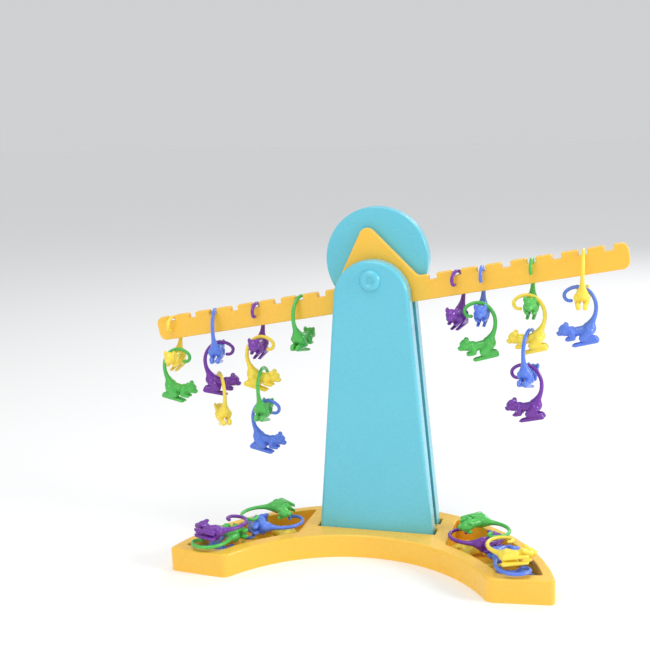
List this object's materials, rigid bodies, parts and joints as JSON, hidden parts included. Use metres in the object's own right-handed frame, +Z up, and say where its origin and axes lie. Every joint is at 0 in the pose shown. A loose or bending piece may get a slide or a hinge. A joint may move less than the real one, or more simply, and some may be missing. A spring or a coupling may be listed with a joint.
{
  "type": "balance game",
  "caption": "Tabletop balance game: a tilting notched beam on a two-panel tower with a dial, a crescent tray with two bins, and monkeys that hang in chains by their tails.",
  "frame": {"origin": "on the tower's middle axis, level with the underside of the tray", "axes": "+X along the beam to the right arm, +Y from the front face to the back, +Z up"},
  "size_m": [0.2807, 0.0955, 0.2038],
  "materials": {
    "yellow_plastic": "satin moulded",
    "turquoise_plastic": "satin moulded",
    "purple_coat": "gloss moulded",
    "blue_coat": "gloss moulded",
    "green_coat": "gloss moulded",
    "yellow_coat": "gloss moulded"
  },
  "bodies": {
    "stand": {"base_tray": "yellow_plastic", "front_upright": "turquoise_plastic", "rear_upright": "turquoise_plastic", "pivot_pin": "turquoise_plastic", "loose_right_1_yellow": "yellow_coat", "loose_right_2_blue": "blue_coat", "loose_right_3_purple": "purple_coat", "loose_right_4_blue": "blue_coat", "loose_left_1_yellow": "yellow_coat", "loose_left_2_blue": "blue_coat", "loose_left_3_blue": "blue_coat", "loose_left_4_green": "green_coat"},
    "beam": {"balance_beam": "yellow_plastic"},
    "monkey_r2_purple": {"monkey_r2_purple": "purple_coat"},
    "monkey_r3_blue": {"monkey_r3_blue": "blue_coat"},
    "monkey_r3b_green": {"monkey_r3b_green": "green_coat"},
    "monkey_r5_green": {"monkey_r5_green": "green_coat"},
    "monkey_r5b_yellow": {"monkey_r5b_yellow": "yellow_coat"},
    "monkey_r5c_blue": {"monkey_r5c_blue": "blue_coat"},
    "monkey_r5d_purple": {"monkey_r5d_purple": "purple_coat"},
    "monkey_r7_yellow": {"monkey_r7_yellow": "yellow_coat"},
    "monkey_r7b_blue": {"monkey_r7b_blue": "blue_coat"},
    "monkey_l2_green": {"monkey_l2_green": "green_coat"},
    "monkey_l4_purple": {"monkey_l4_purple": "purple_coat"},
    "monkey_l4b_yellow": {"monkey_l4b_yellow": "yellow_coat"},
    "monkey_l4c_green": {"monkey_l4c_green": "green_coat"},
    "monkey_l4d_blue": {"monkey_l4d_blue": "blue_coat"},
    "monkey_l6_blue": {"monkey_l6_blue": "blue_coat"},
    "monkey_l6b_purple": {"monkey_l6b_purple": "purple_coat"},
    "monkey_l6c_yellow": {"monkey_l6c_yellow": "yellow_coat"},
    "monkey_l8_yellow": {"monkey_l8_yellow": "yellow_coat"},
    "monkey_l8b_green": {"monkey_l8b_green": "green_coat"},
    "loose_right_5_green": {"loose_right_5_green": "green_coat"},
    "loose_right_6_yellow": {"loose_right_6_yellow": "yellow_coat"},
    "loose_left_5_green": {"loose_left_5_green": "green_coat"},
    "loose_left_6_purple": {"loose_left_6_purple": "purple_coat"}
  },
  "joints": [
    {"name": "beam_tilt", "type": "hinge", "parent": "stand", "child": "beam", "pos_m": [0, 0, 0.1637], "axis": [0, 1, 0], "range_deg": [0, 19.5]},
    {"name": "hang_r2", "type": "hinge", "parent": "beam", "child": "monkey_r2_purple", "pos_m": [0.0478, 0, 0.16783], "axis": [0, 1, 0], "range_deg": [-19.5, 0]},
    {"name": "hang_r3", "type": "hinge", "parent": "beam", "child": "monkey_r3_blue", "pos_m": [0.06159, 0, 0.1702], "axis": [0, 1, 0], "range_deg": [-19.5, 0]},
    {"name": "swing_r3b", "type": "hinge", "parent": "monkey_r3_blue", "child": "monkey_r3b_green", "pos_m": [0.06163, -0.00093, 0.14883], "axis": [0.1736, -0.9848, 0], "range_deg": [-1, 5]},
    {"name": "hang_r5", "type": "hinge", "parent": "beam", "child": "monkey_r5_green", "pos_m": [0.08919, 0, 0.17494], "axis": [0, 1, 0], "range_deg": [-19.5, 0]},
    {"name": "swing_r5b", "type": "hinge", "parent": "monkey_r5_green", "child": "monkey_r5b_yellow", "pos_m": [0.08919, -0.00093, 0.15357], "axis": [0, -1, 0], "range_deg": [-1.5, 5]},
    {"name": "swing_r5c", "type": "hinge", "parent": "monkey_r5b_yellow", "child": "monkey_r5c_blue", "pos_m": [0.08797, -0.00093, 0.13356], "axis": [-0.9659, 0.2588, 0], "range_deg": [-1.5, 5]},
    {"name": "swing_r5d", "type": "hinge", "parent": "monkey_r5c_blue", "child": "monkey_r5d_purple", "pos_m": [0.08829, 0.00025, 0.11356], "axis": [-0.1392, -0.9903, 0], "range_deg": [-1.5, 5]},
    {"name": "hang_r7", "type": "hinge", "parent": "beam", "child": "monkey_r7_yellow", "pos_m": [0.11678, 0, 0.17968], "axis": [0, 1, 0], "range_deg": [-19.5, 0]},
    {"name": "swing_r7b", "type": "hinge", "parent": "monkey_r7_yellow", "child": "monkey_r7b_blue", "pos_m": [0.11675, 0.00093, 0.15832], "axis": [0, -1, 0], "range_deg": [-1.5, 5]},
    {"name": "hang_l2", "type": "hinge", "parent": "beam", "child": "monkey_l2_green", "pos_m": [-0.04583, 0, 0.15174], "axis": [0, 1, 0], "range_deg": [-19.5, 0]},
    {"name": "hang_l4", "type": "hinge", "parent": "beam", "child": "monkey_l4_purple", "pos_m": [-0.07343, 0, 0.147], "axis": [0, 1, 0], "range_deg": [-19.5, 0]},
    {"name": "swing_l4b", "type": "hinge", "parent": "monkey_l4_purple", "child": "monkey_l4b_yellow", "pos_m": [-0.07343, -0.00093, 0.12563], "axis": [0, 1, 0], "range_deg": [-1.5, 5]},
    {"name": "swing_l4c", "type": "hinge", "parent": "monkey_l4b_yellow", "child": "monkey_l4c_green", "pos_m": [-0.07221, -0.00093, 0.10562], "axis": [-1, 0, 0], "range_deg": [-1.5, 5]},
    {"name": "swing_l4d", "type": "hinge", "parent": "monkey_l4c_green", "child": "monkey_l4d_blue", "pos_m": [-0.07221, 0.00029, 0.08561], "axis": [0, 1, 0], "range_deg": [-1.5, 5]},
    {"name": "hang_l6", "type": "hinge", "parent": "beam", "child": "monkey_l6_blue", "pos_m": [-0.10102, 0, 0.14226], "axis": [0, 1, 0], "range_deg": [-19.5, 0]},
    {"name": "swing_l6b", "type": "hinge", "parent": "monkey_l6_blue", "child": "monkey_l6b_purple", "pos_m": [-0.10121, 0.00091, 0.12089], "axis": [-0.342, 0.9397, 0], "range_deg": [-1, 5]},
    {"name": "swing_l6c", "type": "hinge", "parent": "monkey_l6b_purple", "child": "monkey_l6c_yellow", "pos_m": [-0.10007, 0.00132, 0.10088], "axis": [-0.809, -0.5878, 0], "range_deg": [-1.5, 3.5]},
    {"name": "hang_l8", "type": "hinge", "parent": "beam", "child": "monkey_l8_yellow", "pos_m": [-0.12862, 0, 0.13751], "axis": [0, 1, 0], "range_deg": [-19.5, 0]},
    {"name": "swing_l8b", "type": "hinge", "parent": "monkey_l8_yellow", "child": "monkey_l8b_green", "pos_m": [-0.12862, -0.00093, 0.11615], "axis": [0, 1, 0], "range_deg": [-1.5, 5]},
    {"name": "lift_right_5", "type": "slide", "parent": "stand", "child": "loose_right_5_green", "axis": [0, 0, 1], "range_m": [0, 0.03]},
    {"name": "lift_right_6", "type": "slide", "parent": "stand", "child": "loose_right_6_yellow", "axis": [0, 0, 1], "range_m": [0, 0.03]},
    {"name": "lift_left_5", "type": "slide", "parent": "stand", "child": "loose_left_5_green", "axis": [0, 0, 1], "range_m": [0, 0.03]},
    {"name": "lift_left_6", "type": "slide", "parent": "stand", "child": "loose_left_6_purple", "axis": [0, 0, 1], "range_m": [0, 0.03]}
  ],
  "couplings": [
    {"joint": "hang_r2", "follows": "beam_tilt", "ratio": -1},
    {"joint": "hang_r3", "follows": "beam_tilt", "ratio": -1},
    {"joint": "hang_r5", "follows": "beam_tilt", "ratio": -1},
    {"joint": "hang_r7", "follows": "beam_tilt", "ratio": -1},
    {"joint": "hang_l2", "follows": "beam_tilt", "ratio": -1},
    {"joint": "hang_l4", "follows": "beam_tilt", "ratio": -1},
    {"joint": "hang_l6", "follows": "beam_tilt", "ratio": -1},
    {"joint": "hang_l8", "follows": "beam_tilt", "ratio": -1}
  ]
}
